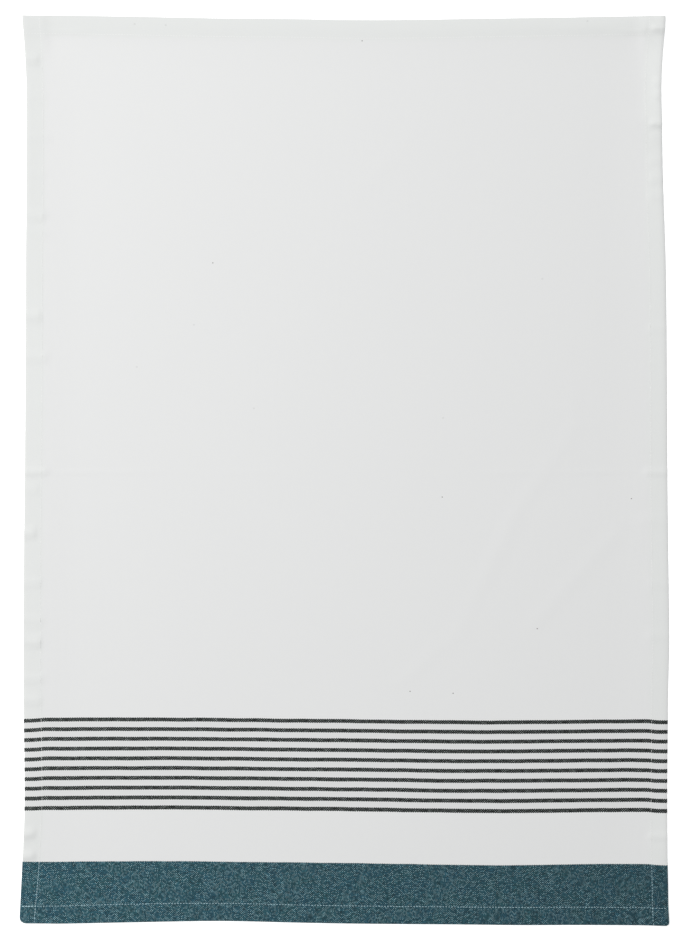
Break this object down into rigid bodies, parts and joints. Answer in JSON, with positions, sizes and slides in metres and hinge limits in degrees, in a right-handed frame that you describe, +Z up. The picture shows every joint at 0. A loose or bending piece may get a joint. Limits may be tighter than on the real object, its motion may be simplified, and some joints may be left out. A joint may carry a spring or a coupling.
{
  "type": "tea towel",
  "caption": "Flat rectangular cotton tea towel with turned hems on all four sides, lying face up, with woven stripes and a dark band across one end.",
  "frame": {"origin": "under the middle of the towel's outline, on the surface it rests on", "axes": "+X across the width, +Y along the length away from the coloured band, +Z up out of the front face"},
  "size_m": [0.4994, 0.6999, 0.003],
  "materials": {
    "cotton_cloth": "matt plain-woven cotton, undyed off-white, with charcoal yarn stripes and a heathered teal yarn band woven in"
  },
  "bodies": {
    "root": {"towel": "cotton_cloth"}
  },
  "joints": []
}
